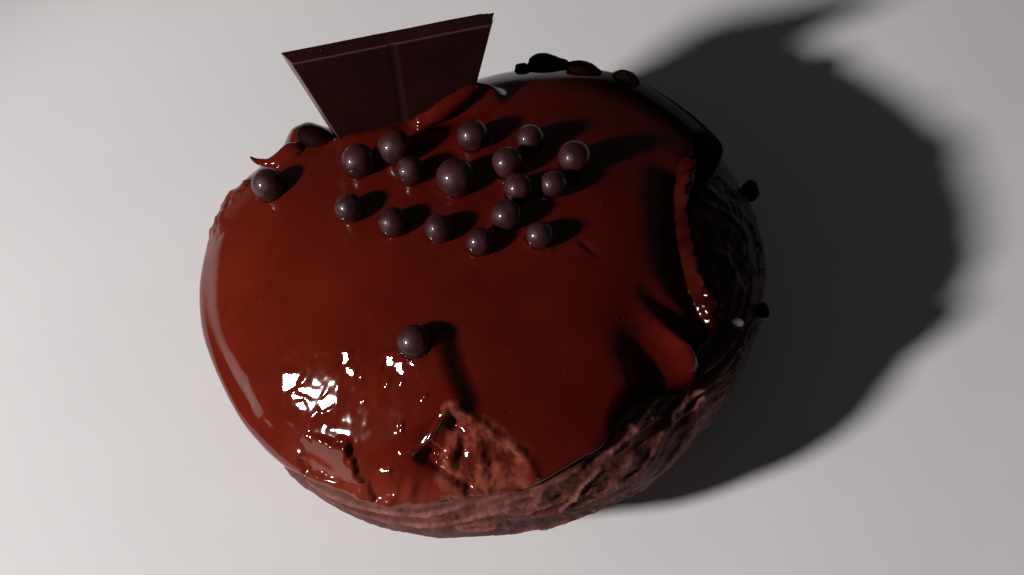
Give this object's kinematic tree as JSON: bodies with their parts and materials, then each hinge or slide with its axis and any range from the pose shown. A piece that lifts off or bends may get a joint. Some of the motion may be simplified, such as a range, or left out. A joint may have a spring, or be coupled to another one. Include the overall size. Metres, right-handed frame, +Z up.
{
  "type": "doughnut",
  "caption": "Filled doughnut without a hole under a dark chocolate glaze, with a standing chocolate piece and crunchy chocolate pearls on top.",
  "frame": {"origin": "middle of the underside's box, on the table the doughnut rests on", "axes": "+Z up, +X along the longest side of the oval, to the right as pictured, +Y towards the back where the chocolate piece stands"},
  "size_m": [0.0877, 0.0791, 0.0453],
  "materials": {
    "dough": "baked chocolate dough skin, creased, satin to dull",
    "glaze": "dark chocolate glaze, high gloss, with fine bubbles",
    "chocolate": "dark chocolate, smooth satin with broken edges",
    "pearls": "polished dark chocolate shell, satin gloss"
  },
  "bodies": {
    "root": {"dough": "dough", "glaze": "glaze", "chocolate_piece": "chocolate", "pearl_01": "pearls", "pearl_02": "pearls", "pearl_03": "pearls", "pearl_04": "pearls", "pearl_05": "pearls", "pearl_06": "pearls", "pearl_07": "pearls", "pearl_08": "pearls", "pearl_09": "pearls", "pearl_10": "pearls", "pearl_11": "pearls", "pearl_12": "pearls", "pearl_13": "pearls", "pearl_14": "pearls", "pearl_15": "pearls", "pearl_16": "pearls", "pearl_17": "pearls", "pearl_18": "pearls"}
  },
  "joints": []
}
